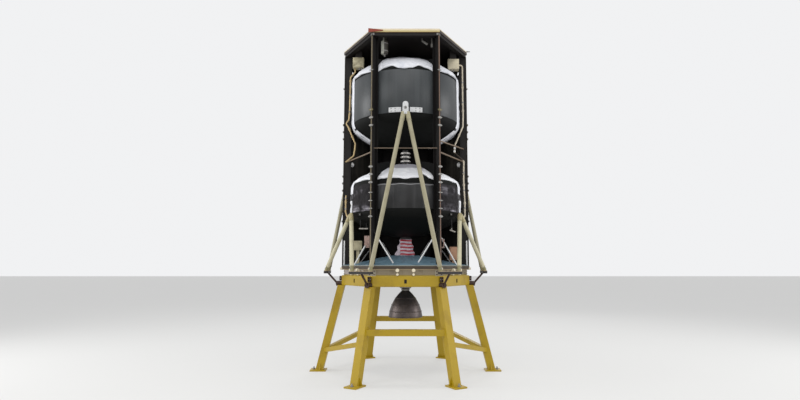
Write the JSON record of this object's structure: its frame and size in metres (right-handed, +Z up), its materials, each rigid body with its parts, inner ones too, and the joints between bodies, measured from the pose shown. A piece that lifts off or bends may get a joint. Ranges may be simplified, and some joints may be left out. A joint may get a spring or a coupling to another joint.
{
  "type": "lunar lander",
  "caption": "Six-sided lunar lander body under construction: open front faces, two propellant tanks, strut trusses, gimballed engine, on its steel stand.",
  "frame": {"origin": "on the floor under the middle of the stand", "axes": "+Z up along the body, front open face towards -Y, +X to the right seen from the front"},
  "size_m": [2.29, 2.0582, 4.017],
  "materials": {
    "stand_yellow": "gloss paint, scuffed",
    "brown_metal": "dark brown anodised",
    "block_grey": "bare machined",
    "adapter_pale": "bare machined",
    "rim_brown": "satin",
    "shield_film": "blue-grey protective film",
    "composite_black": "woven composite, satin",
    "panel_black": "dark composite, satin",
    "lip_gold": "cream gold film tape",
    "tank_carbon": "wound composite, satin",
    "blanket_white": "quilted white insulation",
    "fitting_white": "satin white",
    "strut_olive": "beige-olive primer",
    "rod_white": "satin white",
    "pipe_gold": "taped pipe",
    "box_beige": "primer",
    "cover_striped": "red and white striped cover",
    "clevis_tan": "tan primer",
    "plate_tan": "pinkish tan primer",
    "engine_metal": "brushed",
    "nozzle_dark": "heat darkened",
    "neck_metal": "bare",
    "vane_grey": "bare"
  },
  "bodies": {
    "root": {"stand_feet": "stand_yellow", "stand_legs": "stand_yellow", "stand_braces": "stand_yellow", "stand_ring": "stand_yellow", "corner_blocks": "block_grey", "adapter_ring": "adapter_pale", "base_ring": "rim_brown", "rim_knobs": "fitting_white", "heat_shield": "shield_film", "thrust_frame": "composite_black", "gimbal_brackets": "engine_metal", "corner_posts": "composite_black", "post_clips": "vane_grey", "panel_right": "panel_black", "panel_rear": "panel_black", "panel_left": "panel_black", "top_frame": "panel_black", "top_deck": "panel_black", "top_lip": "lip_gold", "tank_upper": "tank_carbon", "tank_lower": "tank_carbon", "blanket_upper": "blanket_white", "blanket_lower": "blanket_white", "high_fittings": "fitting_white", "low_fittings": "clevis_tan", "high_struts": "strut_olive", "low_struts": "strut_olive", "foot_bars": "brown_metal", "foot_brackets": "brown_metal", "tank_neck": "neck_metal", "base_rods": "rod_white", "feed_pipe_left": "pipe_gold", "feed_pipe_right": "pipe_gold", "avionics_boxes": "box_beige", "base_boxes": "box_beige", "canister": "box_beige", "sump_cover": "cover_striped", "cross_rods": "vane_grey", "rod_plates": "plate_tan", "tank_rails": "vane_grey", "connectors": "fitting_white", "lip_tabs": "vane_grey"},
    "gimbal": {"gimbal_ring": "engine_metal"},
    "engine": {"engine_chamber": "engine_metal", "engine_nozzle": "nozzle_dark"}
  },
  "joints": [
    {"name": "engine_pitch", "type": "hinge", "parent": "root", "child": "gimbal", "pos_m": [0, 0, 1.14], "axis": [1, 0, 0], "range_deg": [-6, 6]},
    {"name": "engine_yaw", "type": "hinge", "parent": "gimbal", "child": "engine", "pos_m": [0, 0, 1.14], "axis": [0, 1, 0], "range_deg": [-6, 6]}
  ]
}
